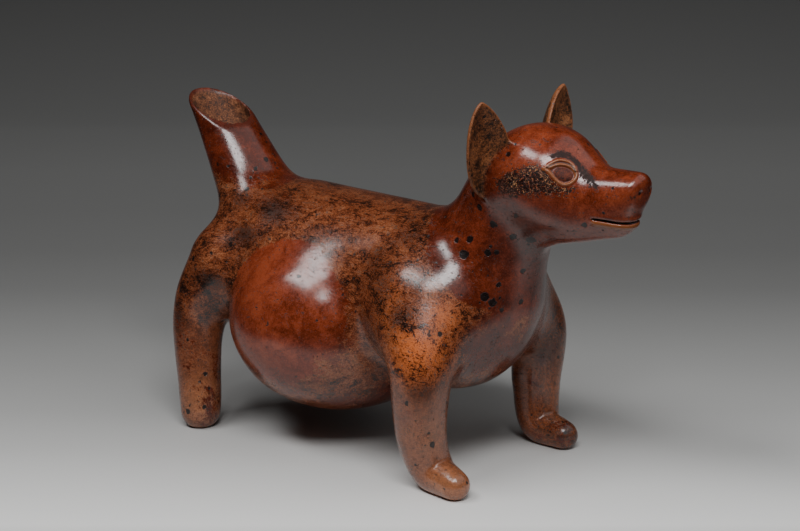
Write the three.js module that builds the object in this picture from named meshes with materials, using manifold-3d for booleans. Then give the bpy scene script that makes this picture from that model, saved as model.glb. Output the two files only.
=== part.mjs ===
// A hollow burnished earthenware vessel in the form of a fat standing dog. Its raised tail is the
// open spout. Millimetres, +Z up, +X towards the nose. The origin lies on the floor below the
// middle of the vessel.
import * as THREE from "three";
import { mergeVertices } from "three/addons/utils/BufferGeometryUtils.js";
import Module from "manifold-3d";

// Driving dimensions
const LENGTH = 380; // from the back of the spout's lip to the tip of the nose
const WALL = 6.5; // clay around the belly, neck and head
const SPOUT_WALL = 3; // clay around the tail, out to its lip
const MOUTH_CUT = 1.3; // radius of the groove between the lips
const NOSTRIL = 1.5; // radius of a nostril's prick
const EYE_RIM = 1.3; // radius of the roll of clay around an eye
const PARTING = 0.3; // gap where the body is parted, behind the shoulders and ahead of the hips

// The form, in hundredths of LENGTH. A place is [along, across, up] from the floor under the
// shoulders, and a fourth number is the radius of a ball there. What comes in pairs is given
// for the left side.
const BELLY = { at: [-8.6, 0, 22.7], half: [20, 24, 18] };
const LOIN = [-19.1, 0, 31.9, 13.1];
const WITHERS = [9.2, 0, 31.5, 12.7];
const RUMP = [-26.4, 0, 30.4, 9.6];
const CHEST = { at: [16.5, 0, 26], half: [12.1, 15.7, 12.8] };
const NECK = [
  [21, 0, 33.1, 10.3],
  [27.8, 0, 49.8, 8],
];
const SKULL = { at: [33.6, 0, 52.8], half: [10, 9.4, 9] };
const MUZZLE = [
  [40.4, 0, 50, 5.9],
  [51.9, 0, 52.1, 3.8],
];
const JAW = [
  [35.5, 0, 47.1, 5.3],
  [50, 0, 47.5, 2.5],
];
const NOSE = [52.9, 0, 52.1];
const EAR = { at: [28.6, 10, 58.2], half: [4.3, 2.1, 8.5] };
const HIND_LEG = [
  [-28.1, 8.9, 29.6, 8.8],
  [-33.3, 13.4, 20.2, 5.1],
  [-30.7, 16.7, 2.9, 3.7],
];
const FORE_LEG = [
  [16.5, 9.9, 29.5, 8.5],
  [20.8, 16.8, 21.2, 5.5],
  [21, 17.1, 10.4, 4.4],
  [22.7, 16, 3.4, 3.7],
];
const TOES = { along: 28.5, left: 14.9, right: 17.6, up: 2.3, radius: 2.7 };
const TAIL = [
  [-29.5, 0, 39.4, 6.4],
  [-40.6, 0, 57.4, 4.35],
  [-48.3, 0, 70, 4.15],
];
const LIP = { at: [-40, 0, 57], block: 36 };
const EYE = { at: [41.3, 5.9, 55.4], half: [2.3, 1.9] };
const MOUTH = { at: [45.8, 0, 47.6], rise: 0.5 };
const NOSTRILS = [53.1, 1.25, 52.5];
const SHOULDER = 8;
const HIP = -19.5;

// How round the hollows are where two forms of clay run together, in hundredths of LENGTH
const SOFT = {
  back: 7.4,
  belly: 3,
  haunch: 3,
  shoulder: 5.7,
  neck: 7.1,
  head: 3.9,
  jaw: 2.6,
  tail: 4.6,
};

// Shapes that are no lengths: widths across for one unit of height, and angles in degrees
const BARREL_SPREAD = 1.18;
const TAIL_SPREAD = 1.3;
const NOSE_LEAN = 14.6;
const LIP_LEAN = { forward: 21.4, right: 4.7 };
const EAR_LEAN = { forward: 4.7, out: 13.3 };
const EAR_TURN = { left: 2, right: 21 };
const EAR_CURL = 7.6;
const EAR_POINT = 0.2;
const EAR_FRONT = 0.45;
const EAR_DISH = 0.7;
const EYE_TILT = -16;
const EYE_PINCH = 0.5;

// Fineness of the faceted clay: the space that its cells fill, the width of a cell and how far a
// facet may stand off the true form, in hundredths of LENGTH
const SKIN_FACETS = { low: [-54, -29.7, -5], high: [58, 29.7, 78], cell: 3.8, off: 0.18, rounds: 3 };
const HOLLOW_FACETS = { low: [-52, -25.9, 0], high: [52, 25.9, 70], cell: 4.8, off: 0.5, rounds: 2 };

// Facets round each small form
const ROUND = { spout: 28, ear: 16, eye: 20, rim: 6, mouth: 20, groove: 4, nostril: 8 };

const share = LENGTH / 100;
const real = (numbers) => numbers.map((number) => number * share);
const left = (place) => place;
const right = ([along, across, ...rest]) => [along, -across, ...rest];

// Fields: each gives how far a point lies outside a form, and is negative inside it.
const blend = (a, b, soft) => {
  const meet = Math.max(soft - Math.abs(a - b), 0) / soft;
  return Math.min(a, b) - (meet * meet * soft) / 4;
};
const merge = (a, b, soft) => (p) => blend(a(p), b(p), soft * share);
const trim = (a, b, soft) => (p) => -blend(-a(p), -b(p), soft * share);
const thinner = (field, by) => (p) => field(p) + by;

function ball(joint) {
  const [x, y, z, radius] = real(joint);
  return (p) => Math.hypot(p.x - x, p.y - y, p.z - z) - radius;
}

function egg(at, half) {
  const [x, y, z] = real(at);
  const [long, wide, tall] = real(half);
  return (p) => {
    const u = (p.x - x) / long;
    const v = (p.y - y) / wide;
    const w = (p.z - z) / tall;
    const reach = Math.sqrt(u * u + v * v + w * w);
    const steep = Math.sqrt((u / long) ** 2 + (v / wide) ** 2 + (w / tall) ** 2);
    return (reach * (reach - 1)) / Math.max(steep, 1e-9);
  };
}

// The hull of two balls, spread out sideways
function horn(from, to, spread = 1) {
  const [ax, ay, az, ar] = real(from);
  const [bx, by, bz, br] = real(to);
  const length = Math.hypot(bx - ax, by - ay, bz - az);
  const along = [(bx - ax) / length, (by - ay) / length, (bz - az) / length];
  const taper = (ar - br) / length;
  const slant = Math.sqrt(1 - taper * taper);
  return (p) => {
    const x = p.x - ax;
    const y = p.y / spread - ay;
    const z = p.z - az;
    const run = x * along[0] + y * along[1] + z * along[2];
    const out = Math.sqrt(Math.max(x * x + y * y + z * z - run * run, 0));
    const side = slant * run - taper * out;
    if (side < 0) return Math.hypot(out, run) - ar;
    if (side > slant * length) return Math.hypot(out, run - length) - br;
    return out * slant + run * taper - ar;
  };
}

// A ball that runs through joints in one smooth curve and changes its radius on the way
function limb(joints, spread = 1) {
  const balls = joints.map(real);
  const last = balls.length - 1;
  const past = (end, inner) => end.map((value, k) => 2 * value - inner[k]);
  const knots = [past(balls[0], balls[1]), ...balls, past(balls[last], balls[last - 1])];
  const curves = balls.slice(1).map((_, i) =>
    knots[i].map((a, k) => {
      const [b, c, d] = [knots[i + 1][k], knots[i + 2][k], knots[i + 3][k]];
      return [b, (c - a) / 2, (2 * a - 5 * b + 4 * c - d) / 2, (3 * (b - c) + d - a) / 2];
    }),
  );
  const along = ([start, turn, bend, twist], s) => start + s * (turn + s * (bend + s * twist));
  const gap = (p, t) => {
    const i = THREE.MathUtils.clamp(Math.floor(t), 0, last - 1);
    const [xs, ys, zs, radii] = curves[i];
    const x = p.x - along(xs, t - i);
    const y = p.y / spread - along(ys, t - i);
    const z = p.z - along(zs, t - i);
    return Math.sqrt(x * x + y * y + z * z) - along(radii, t - i);
  };
  const stops = 5 * last; // places looked at first, before the nearest of them is sharpened
  const near = 3 * share; // further off than this, the nearest place will do
  return (p) => {
    let t = 0;
    let least = Infinity;
    for (let n = 0; n <= stops; n += 1) {
      const found = gap(p, (n * last) / stops);
      if (found >= least) continue;
      t = (n * last) / stops;
      least = found;
    }
    if (least > near) return least;
    for (const reach of [last / stops, (0.3 * last) / stops]) {
      const before = gap(p, t - reach);
      const after = gap(p, t + reach);
      const bow = before - 2 * least + after;
      const shift = bow > 1e-6 ? THREE.MathUtils.clamp((before - after) / (2 * bow), -1, 1) : 0;
      const next = THREE.MathUtils.clamp(t + shift * reach, 0, last);
      const found = gap(p, next);
      if (found >= least) continue;
      t = next;
      least = found;
    }
    return least;
  };
}

// A flat face that cuts off what lies ahead of it, leaning back or forward by some degrees
function face(at, lean) {
  const [x, , z] = real(at);
  const turn = THREE.MathUtils.degToRad(lean);
  return (p) => (p.x - x) * Math.cos(turn) - (p.z - z) * Math.sin(turn);
}

const foreLeg = (side, toe) => limb([...FORE_LEG, [TOES.along, toe, TOES.up, TOES.radius]].map(side));
const back = merge(horn(LOIN, WITHERS, BARREL_SPREAD), ball(RUMP), SOFT.back);
const trunk = merge(
  merge(back, egg(CHEST.at, CHEST.half), SOFT.back),
  egg(BELLY.at, BELLY.half),
  SOFT.belly,
);
const skull = egg(SKULL.at, SKULL.half);
const snout = merge(horn(...MUZZLE), horn(...JAW), SOFT.jaw);
const head = merge(skull, trim(snout, face(NOSE, NOSE_LEAN), SOFT.jaw), SOFT.head);
const torso = merge(trunk, merge(horn(...NECK), head, SOFT.head), SOFT.neck);
const limbs = [
  [limb(HIND_LEG.map(left)), SOFT.haunch],
  [limb(HIND_LEG.map(right)), SOFT.haunch],
  [foreLeg(left, TOES.left), SOFT.shoulder],
  [foreLeg(right, TOES.right), SOFT.shoulder],
  [limb(TAIL, TAIL_SPREAD), SOFT.tail],
];
const skin = limbs.reduce((whole, [form, soft]) => merge(whole, form, soft), torso);

// The hollow runs through belly, chest, neck and head, and up into each haunch and shoulder
const roots = [HIND_LEG[0], FORE_LEG[0]].flatMap((root) => [ball(root), ball(right(root))]);
const neckAndSkull = merge(horn(...NECK), skull, SOFT.head);
const insides = [...roots, ball(TAIL[0])].reduce(
  (whole, root) => merge(whole, root, SOFT.haunch),
  merge(trunk, neckAndSkull, SOFT.neck),
);
const hollow = thinner(insides, WALL);

// The way off a field's surface at a point
function slope(field, p) {
  const step = share / 8;
  const ask = (axis) => {
    const ahead = p.clone();
    const behind = p.clone();
    ahead[axis] += step;
    behind[axis] -= step;
    return (field(ahead) - field(behind)) / (2 * step);
  };
  return new THREE.Vector3(ask("x"), ask("y"), ask("z"));
}

// Moves a point on to a field's surface
function settle(field, p) {
  const closeEnough = share / 1000;
  for (let turn = 0; turn < 4; turn += 1) {
    const away = field(p);
    if (Math.abs(away) < closeEnough) break;
    const way = slope(field, p);
    way.multiplyScalar(-away / Math.max(way.lengthSq(), 0.1));
    p.add(way.clampLength(0, share));
  }
  return p;
}

// A closed mesh of a field's surface: one point in each cell that the surface crosses, and a
// four-sided face round each cell edge that it crosses
function net(field, facets) {
  const cell = facets.cell * share;
  const [least, most] = [real(facets.low), real(facets.high)];
  const counts = least.map((value, axis) => Math.ceil((most[axis] - value) / cell) + 1);
  const number = (node) => (node[0] * counts[1] + node[1]) * counts[2] + node[2];
  const place = (node) => new THREE.Vector3(...node.map((value, axis) => least[axis] + value * cell));
  const nodes = [];
  for (let i = 0; i < counts[0]; i += 1) {
    for (let j = 0; j < counts[1]; j += 1) {
      for (let k = 0; k < counts[2]; k += 1) nodes.push([i, j, k]);
    }
  }
  const depth = nodes.map((node) => field(place(node)));
  const sums = new Map();
  const rings = [];
  for (const node of nodes) {
    for (const axis of [0, 1, 2]) {
      const next = node.with(axis, node[axis] + 1);
      if (next[axis] >= counts[axis]) continue;
      const [here, there] = [depth[number(node)], depth[number(next)]];
      if (here < 0 === there < 0) continue;
      const crossing = place(node).lerp(place(next), here / (here - there));
      const [b, c] = [(axis + 1) % 3, (axis + 2) % 3];
      const corners = [[0, 0], [-1, 0], [-1, -1], [0, -1]];
      const ring = corners.map(([backB, backC]) => {
        return number(node.with(b, node[b] + backB).with(c, node[c] + backC));
      });
      for (const cellNumber of ring) {
        const sum = sums.get(cellNumber) ?? { total: new THREE.Vector3(), hits: 0 };
        sum.total.add(crossing);
        sum.hits += 1;
        sums.set(cellNumber, sum);
      }
      rings.push(here < 0 ? ring : ring.reverse());
    }
  }
  const order = new Map([...sums.keys()].map((key, index) => [key, index]));
  const middles = [...sums.values()].map(({ total, hits }) => total.divideScalar(hits));
  const points = middles.map((middle) => settle(field, middle));
  const faces = rings.flatMap((ring) => {
    const [a, b, c, d] = ring.map((key) => order.get(key));
    const shortAcross = points[a].distanceTo(points[c]) < points[b].distanceTo(points[d]);
    return shortAcross ? [[a, b, c], [a, c, d]] : [[a, b, d], [b, c, d]];
  });
  return { points, faces };
}

// Splits each edge whose middle stands too far off the surface
function refine(field, { points, faces }, facets) {
  let current = faces;
  for (let round = 0; round < facets.rounds; round += 1) {
    const middles = new Map();
    const middle = (a, b) => {
      const key = a < b ? `${a} ${b}` : `${b} ${a}`;
      if (!middles.has(key)) {
        const straight = points[a].clone().lerp(points[b], 0.5);
        const onSkin = settle(field, straight.clone());
        const tooFar = onSkin.distanceTo(straight) > facets.off * share;
        middles.set(key, tooFar ? points.push(onSkin) - 1 : null);
      }
      return middles.get(key);
    };
    current = current.flatMap(([a, b, c]) => {
      const cuts = [middle(a, b), middle(b, c), middle(c, a)];
      const made = cuts.filter((cut) => cut !== null).length;
      if (made === 0) return [[a, b, c]];
      const [ab, bc, ca] = cuts;
      if (made === 3) return [[a, ab, ca], [ab, b, bc], [ca, bc, c], [ab, bc, ca]];
      // Turned so that the first edge is cut, and with two cuts the third edge is whole
      const turns = [
        [a, b, c, ab, bc, ca],
        [b, c, a, bc, ca, ab],
        [c, a, b, ca, ab, bc],
      ];
      const fits = ([, , , first, second, third]) =>
        first !== null && third === null && (made === 1 || second !== null);
      const [p, q, r, pq, qr] = turns.find(fits);
      if (made === 1) return [[p, pq, r], [pq, q, r]];
      return [[pq, q, qr], [p, pq, qr], [p, qr, r]];
    });
  }
  return { points, faces: current };
}

const wasm = await Module();
wasm.setup();

const solid = (spots, corners) =>
  new wasm.Manifold(
    new wasm.Mesh({
      numProp: 3,
      vertProperties: Float32Array.from(spots),
      triVerts: Uint32Array.from(corners),
    }),
  );

function solidOfField(field, facets) {
  const { points, faces } = refine(field, net(field, facets), facets);
  return solid(points.flatMap((p) => p.toArray()), faces.flat());
}

function solidOf(geometry) {
  const bare = geometry.clone();
  bare.deleteAttribute("normal");
  bare.deleteAttribute("uv");
  const whole = mergeVertices(bare, 1e-4);
  return solid(whole.attributes.position.array, whole.index.array);
}

// A block that takes away all above a slanting face
function blockAbove(at, size, lean) {
  const block = new THREE.BoxGeometry(size, size, size);
  block.translate(0, 0, size / 2);
  block.rotateX(THREE.MathUtils.degToRad(lean.right));
  block.rotateY(THREE.MathUtils.degToRad(lean.forward));
  return block.translate(...at);
}

// The bore of the spout follows the tail from the belly's hollow out past the lip
function bore() {
  const joints = TAIL.map(real);
  const [root] = joints;
  const far = joints.at(-1);
  const along = new THREE.Vector3(far[0] - root[0], 0, far[2] - root[2]).normalize();
  const sideways = new THREE.Vector3(0, 1, 0);
  const run = ([x, , z]) => (x - root[0]) * along.x + (z - root[2]) * along.z;
  const wall = joints.map((joint) => new THREE.Vector2(joint[3] - SPOUT_WALL, run(joint)));
  const profile = [new THREE.Vector2(0, 0), ...wall, new THREE.Vector2(0, run(far))];
  const spread = (TAIL_SPREAD * joints[1][3] - SPOUT_WALL) / (joints[1][3] - SPOUT_WALL);
  const lathe = new THREE.LatheGeometry(profile, ROUND.spout);
  const across = sideways.clone().cross(along);
  const turned = new THREE.Matrix4().makeBasis(sideways.multiplyScalar(spread), along, across);
  turned.setPosition(root[0], 0, root[2]);
  return lathe.applyMatrix4(turned);
}

// Lays a flat geometry on the skin around a place, with its x to the front, its y up the cheek
// and its z standing off the skin
function lay(geometry, at, tilt, side) {
  const middle = settle(skin, new THREE.Vector3(...real(side(at))));
  const off = slope(skin, middle).normalize();
  const level = new THREE.Vector3(0, 0, 1).cross(off).normalize();
  if (level.x < 0) level.negate();
  const rise = new THREE.Vector3(0, 0, 1).addScaledVector(off, -off.z).normalize();
  const angle = THREE.MathUtils.degToRad(tilt);
  const front = level.clone().multiplyScalar(Math.cos(angle)).addScaledVector(rise, Math.sin(angle));
  const up = rise.multiplyScalar(Math.cos(angle)).addScaledVector(level, -Math.sin(angle));
  const laid = geometry.clone();
  const spots = laid.attributes.position;
  const p = new THREE.Vector3();
  for (let n = 0; n < spots.count; n += 1) {
    p.fromBufferAttribute(spots, n);
    const foot = middle.clone().addScaledVector(front, p.x).addScaledVector(up, p.y);
    settle(skin, foot);
    foot.addScaledVector(slope(skin, foot).normalize(), p.z);
    spots.setXYZ(n, foot.x, foot.y, foot.z);
  }
  if (side === right) return laid;
  // On the left side the frame is a mirrored one, so the faces turn round
  const corners = laid.index.array;
  for (let n = 0; n < corners.length; n += 3) {
    [corners[n + 1], corners[n + 2]] = [corners[n + 2], corners[n + 1]];
  }
  return laid;
}

// An ear is a leaf of clay with a narrow tip, a round back, a dished front and edges that curl
// forward. Before it is stood in its place its x runs across it, its y up it and its z to the
// front.
function ear(side) {
  const [wide, thick, tall] = real(EAR.half);
  const leaf = new THREE.SphereGeometry(1, ROUND.ear, (3 * ROUND.ear) / 4);
  const spots = leaf.attributes.position;
  for (let n = 0; n < spots.count; n += 1) {
    const [x, y, z] = new THREE.Vector3().fromBufferAttribute(spots, n);
    const across = x * wide * Math.max(1 - y, 0) ** EAR_POINT;
    const ahead = z > 0 ? z * (EAR_FRONT - EAR_DISH * z) : z;
    spots.setXYZ(n, across, y * tall, ahead * thick + (EAR_CURL * across ** 2) / LENGTH);
  }
  const out = Math.sign(side(EAR.at)[1]);
  const forward = THREE.MathUtils.degToRad(EAR_LEAN.forward);
  const aside = THREE.MathUtils.degToRad(EAR_LEAN.out);
  const turn = THREE.MathUtils.degToRad(side === left ? EAR_TURN.left : EAR_TURN.right);
  const rise = new THREE.Vector3(
    Math.sin(forward),
    out * Math.sin(aside) * Math.cos(forward),
    Math.cos(aside) * Math.cos(forward),
  );
  const front = new THREE.Vector3(Math.cos(turn), out * Math.sin(turn), 0);
  front.addScaledVector(rise, -front.dot(rise)).normalize();
  const place = new THREE.Matrix4().makeBasis(rise.clone().cross(front), rise, front);
  return leaf.applyMatrix4(place.setPosition(...real(side(EAR.at))));
}

// Draws the back corner of an eye together into a point
function almond(geometry, [long, tall]) {
  const spots = geometry.attributes.position;
  for (let n = 0; n < spots.count; n += 1) {
    const x = spots.getX(n);
    spots.setX(n, x * long);
    spots.setY(n, spots.getY(n) * tall * (1 + EYE_PINCH * THREE.MathUtils.clamp(x, -1, 1)));
  }
  return geometry;
}

function eyeRim(side) {
  const [long, tall] = real(EYE.half);
  const ring = new THREE.TorusGeometry(1, EYE_RIM / tall, ROUND.rim, ROUND.eye);
  ring.scale(1, 1, tall);
  return lay(almond(ring, [long, tall]), EYE.at, EYE_TILT, side);
}

function eyeball(side) {
  const [long, tall] = real(EYE.half);
  const dome = new THREE.SphereGeometry(1, ROUND.eye / 2, ROUND.eye / 2);
  dome.scale(1, 1, 3 * EYE_RIM).translate(0, 0, -2 * EYE_RIM);
  return lay(almond(dome, [long, tall]), EYE.at, EYE_TILT, side);
}

// The groove of the mouth, from corner to corner round the front of the snout
function mouth() {
  const [x, , z] = real(MOUTH.at);
  const onSkin = (angle) => {
    const spot = new THREE.Vector3(x, 0, z + MOUTH.rise * share * Math.sin(angle) ** 2);
    const way = new THREE.Vector3(Math.cos(angle), Math.sin(angle), 0);
    for (let turn = 0; turn < 24; turn += 1) spot.addScaledVector(way, -skin(spot));
    return spot;
  };
  const stops = ROUND.mouth / 2;
  const line = Array.from({ length: stops + 1 }, (_, n) => onSkin(Math.PI * (n / stops - 0.5)));
  const section = new THREE.Shape().absarc(0, 0, MOUTH_CUT, 0, 2 * Math.PI);
  return new THREE.ExtrudeGeometry(section, {
    extrudePath: new THREE.CatmullRomCurve3(line),
    steps: ROUND.mouth,
    curveSegments: ROUND.groove,
  });
}

function nostril(side) {
  const at = settle(skin, new THREE.Vector3(...real(side(NOSTRILS))));
  const prick = new THREE.SphereGeometry(NOSTRIL, ROUND.nostril, (3 * ROUND.nostril) / 4);
  return prick.translate(at.x, at.y, at.z);
}

function dogVessel() {
  const sides = [left, right];
  const joined = [ear, eyeRim, eyeball].flatMap((form) => sides.map(form));
  const cut = [
    bore(),
    blockAbove(real(LIP.at), LIP.block * share, LIP_LEAN),
    blockAbove([0, 0, -LENGTH], LENGTH, { forward: 0, right: 0 }),
    mouth(),
    ...sides.map(nostril),
  ];
  const tools = [solidOfField(hollow, HOLLOW_FACETS), ...cut.map(solidOf)];
  const whole = solidOfField(skin, SKIN_FACETS);
  const eared = joined.map(solidOf).reduce((sum, piece) => sum.add(piece), whole);
  return tools.reduce((rest, tool) => rest.subtract(tool), eared);
}

function geometryOf(made) {
  const { numProp, vertProperties, triVerts } = made.getMesh();
  const spots = vertProperties.filter((_, n) => n % numProp < 3);
  const geometry = new THREE.BufferGeometry();
  geometry.setAttribute("position", new THREE.BufferAttribute(spots, 3));
  geometry.setIndex(new THREE.BufferAttribute(triVerts, 1));
  geometry.computeVertexNormals();
  return geometry;
}

const ahead = (made, along) => made.trimByPlane([1, 0, 0], along * share + PARTING / 2);
const behind = (made, along) => made.trimByPlane([-1, 0, 0], PARTING / 2 - along * share);

const whole = dogVessel();
const pieces = {
  forequarters: ahead(whole, SHOULDER),
  barrel: behind(ahead(whole, HIP), SHOULDER),
  hindquarters: behind(whole, HIP),
};

// The origin goes below the middle of the vessel's length
const { min, max } = whole.boundingBox();
const clay = new THREE.MeshStandardMaterial({ color: 0x7a2f1c, roughness: 0.35, metalness: 0 });
const dog = new THREE.Group();
for (const [name, made] of Object.entries(pieces)) {
  const piece = new THREE.Mesh(geometryOf(made), clay);
  piece.name = name;
  piece.position.x = -(min[0] + max[0]) / 2;
  dog.add(piece);
}
export default dog;
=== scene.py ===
import math

import bmesh
import bpy
import numpy as np
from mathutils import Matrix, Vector


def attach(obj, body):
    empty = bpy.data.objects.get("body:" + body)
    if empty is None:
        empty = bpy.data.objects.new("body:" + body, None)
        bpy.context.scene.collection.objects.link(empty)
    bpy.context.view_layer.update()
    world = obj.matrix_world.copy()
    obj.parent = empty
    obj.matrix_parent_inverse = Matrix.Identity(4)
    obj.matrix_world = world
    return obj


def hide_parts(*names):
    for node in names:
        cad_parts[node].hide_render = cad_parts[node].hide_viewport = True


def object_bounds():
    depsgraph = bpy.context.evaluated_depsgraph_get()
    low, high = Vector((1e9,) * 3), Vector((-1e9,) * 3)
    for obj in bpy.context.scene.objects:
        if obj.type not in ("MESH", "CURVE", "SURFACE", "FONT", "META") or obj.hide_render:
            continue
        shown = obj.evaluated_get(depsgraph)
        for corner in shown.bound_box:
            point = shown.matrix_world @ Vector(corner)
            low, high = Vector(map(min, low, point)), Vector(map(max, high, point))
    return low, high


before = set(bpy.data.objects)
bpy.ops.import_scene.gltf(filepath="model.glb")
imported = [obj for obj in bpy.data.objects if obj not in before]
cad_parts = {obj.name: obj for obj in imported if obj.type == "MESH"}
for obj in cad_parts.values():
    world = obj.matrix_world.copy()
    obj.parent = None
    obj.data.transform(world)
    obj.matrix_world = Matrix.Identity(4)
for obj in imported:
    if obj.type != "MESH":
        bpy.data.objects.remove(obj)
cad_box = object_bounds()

# A hollow burnished earthenware vessel in the form of a fat standing dog. Its raised tail is the
# open spout. The form is worked out in hundredths of its length, as [along, across, up] from a
# point on the floor near the middle, and laid over the solid at the end. A fourth number is the
# radius of a ball there. What comes in pairs is given for the left side.
solid_low, solid_high = cad_box

# A hundredth of the length in metres, and a millimetre in hundredths of the length
SHARE = (solid_high.x - solid_low.x) / 100
MM = 0.001 / SHARE

WALL = 6.5 * MM
SPOUT_WALL = 3 * MM

BELLY = {"at": (-8.6, 0, 22.7), "half": (20, 24, 18)}
LOIN = (-19.1, 0, 31.9, 13.1)
WITHERS = (9.2, 0, 31.5, 12.7)
RUMP = (-26.4, 0, 30.4, 9.6)
CHEST = {"at": (16.5, 0, 26), "half": (12.1, 15.7, 12.8)}
NECK = [(21, 0, 33.1, 10.3), (27.8, 0, 49.8, 8)]
SKULL = {"at": (33.6, 0, 52.8), "half": (10, 9.4, 9)}
MUZZLE = [(40.4, 0, 50, 5.9), (51.9, 0, 52.1, 3.8)]
JAW = [(35.5, 0, 47.1, 5.3), (50, 0, 47.5, 2.5)]
NOSE = (52.9, 0, 52.1)
EAR = {"at": (28.6, 10, 58.2), "half": (4.3, 2.1, 8.5)}
HIND_LEG = [(-28.1, 8.9, 29.6, 8.8), (-33.3, 13.4, 20.2, 5.1), (-30.7, 16.7, 2.9, 3.7)]
FORE_LEG = [
    (16.5, 9.9, 29.5, 8.5),
    (20.8, 16.8, 21.2, 5.5),
    (21, 17.1, 10.4, 4.4),
    (22.7, 16, 3.4, 3.7),
]
TOES = {"along": 28.5, "left": 14.9, "right": 17.6, "up": 2.3, "radius": 2.7}
TAIL = [(-29.5, 0, 39.4, 6.4), (-40.6, 0, 57.4, 4.35), (-48.3, 0, 70, 4.15)]
LIP = (-40, 0, 57)
EYE = (41.3, 5.9, 55.4)
MOUTH = {"at": (45.8, 0, 47.6), "rise": 0.5}
NOSTRILS = [(53.1, -1.3, 52.7), (52.9, 2, 52.7)]
SOFT = {
    "back": 7.4,
    "belly": 3,
    "haunch": 3,
    "shoulder": 5.7,
    "neck": 7.1,
    "head": 3.9,
    "jaw": 2.6,
    "tail": 4.6,
    "ear": 1.3,
    "edge": 1.0,
}
BARREL_SPREAD = 1.18
TAIL_SPREAD = 1.3
NOSE_LEAN = 14.6
LIP_LEAN = {"forward": 21.4, "right": 4.7}
EAR_LEAN = {"forward": 4.7, "out": 13.3}
EAR_TURN = {"left": 2, "right": 21}
EAR_CURL = 7.6
EAR_POINT = 0.2
EYE_TILT = -16

# The lines of an eye in hundredths of the length, from its middle to the front and up
EYE_OUTLINE = [
    (-3.3, -0.13),
    (-2.5, -0.35),
    (-1.52, -1.05),
    (-0.2, -1.75),
    (0.95, -1.7),
    (1.85, -0.8),
    (2.0, 0.25),
    (1.25, 1.05),
    (0.3, 1.32),
    (-0.7, 1.22),
    (-1.64, 0.84),
    (-2.4, 0.3),
]
EYELID = [(-2.9, 0.45), (-2.1, 1.25), (-1.5, 1.75), (-0.6, 2.05), (0.5, 2.0), (1.3, 1.55), (1.85, 0.9)]
EYEBALL = {"at": (-0.05, -0.2), "half": (1.62, 1.12)}

SKIN_CELL = 0.52
HOLLOW_CELL = 1.6
BORE_CELL = 0.7

# The boxes in which the skin, the hollow and the bore are worked out, and the width of a cell
NETS = {
    "skin": ((-56, -27, -2), (57, 27, 70), SKIN_CELL),
    "hollow": ((-52, -26, 0), (52, 26, 70), HOLLOW_CELL),
    "bore": ((-60, -13, 33), (-20, 13, 72), BORE_CELL),
}

# The block that the bore is kept to, so that it ends in the hollow and just beyond the lip
BORE_BLOCK = {"at": (-40, 0, 52.5), "half": (19, 12, 19)}

# The longest edges of the mesh where it is finer than elsewhere
FINE_EDGE = {
    "ear rim": 0.36,
    "eye": 0.13,
    "round the eye": 0.25,
    "mouth": 0.17,
    "nostril": 0.13,
    "lip": 0.3,
}


def left(place):
    return place


def right(place):
    along, across, *rest = place
    return (along, -across, *rest)


# Fields: each gives how far points lie outside a form, and is negative inside it.
def blend(a, b, soft):
    meet = np.maximum(soft - np.abs(a - b), 0) / soft
    return np.minimum(a, b) - meet * meet * soft / 4


def merge(a, b, soft):
    return lambda p: blend(a(p), b(p), soft)


def trim(a, b, soft):
    return lambda p: -blend(-a(p), -b(p), soft)


def thinner(field, by):
    return lambda p: field(p) + by


def ball(joint):
    middle = np.array(joint[:3], float)
    return lambda p: np.linalg.norm(p - middle, axis=1) - joint[3]


def egg_depth(offset, half):
    scaled = offset / half
    reach = np.linalg.norm(scaled, axis=1)
    steep = np.linalg.norm(scaled / half, axis=1)
    return reach * (reach - 1) / np.maximum(steep, 1e-9)


def egg(form):
    at, half = np.array(form["at"], float), np.array(form["half"], float)
    return lambda p: egg_depth(p - at, half)


def horn(start, end, spread=1.0):
    """The hull of two balls, spread out sideways."""
    a, b = np.array(start[:3], float), np.array(end[:3], float)
    length = np.linalg.norm(b - a)
    along = (b - a) / length
    taper = (start[3] - end[3]) / length
    slant = math.sqrt(1 - taper * taper)

    def field(p):
        offset = p * (1, 1 / spread, 1) - a
        run = offset @ along
        out = np.sqrt(np.maximum((offset * offset).sum(1) - run * run, 0))
        side = slant * run - taper * out
        middle = out * slant + run * taper - start[3]
        near = np.where(side < 0, np.hypot(out, run) - start[3], middle)
        return np.where(side > slant * length, np.hypot(out, run - length) - end[3], near)

    return field


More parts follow.
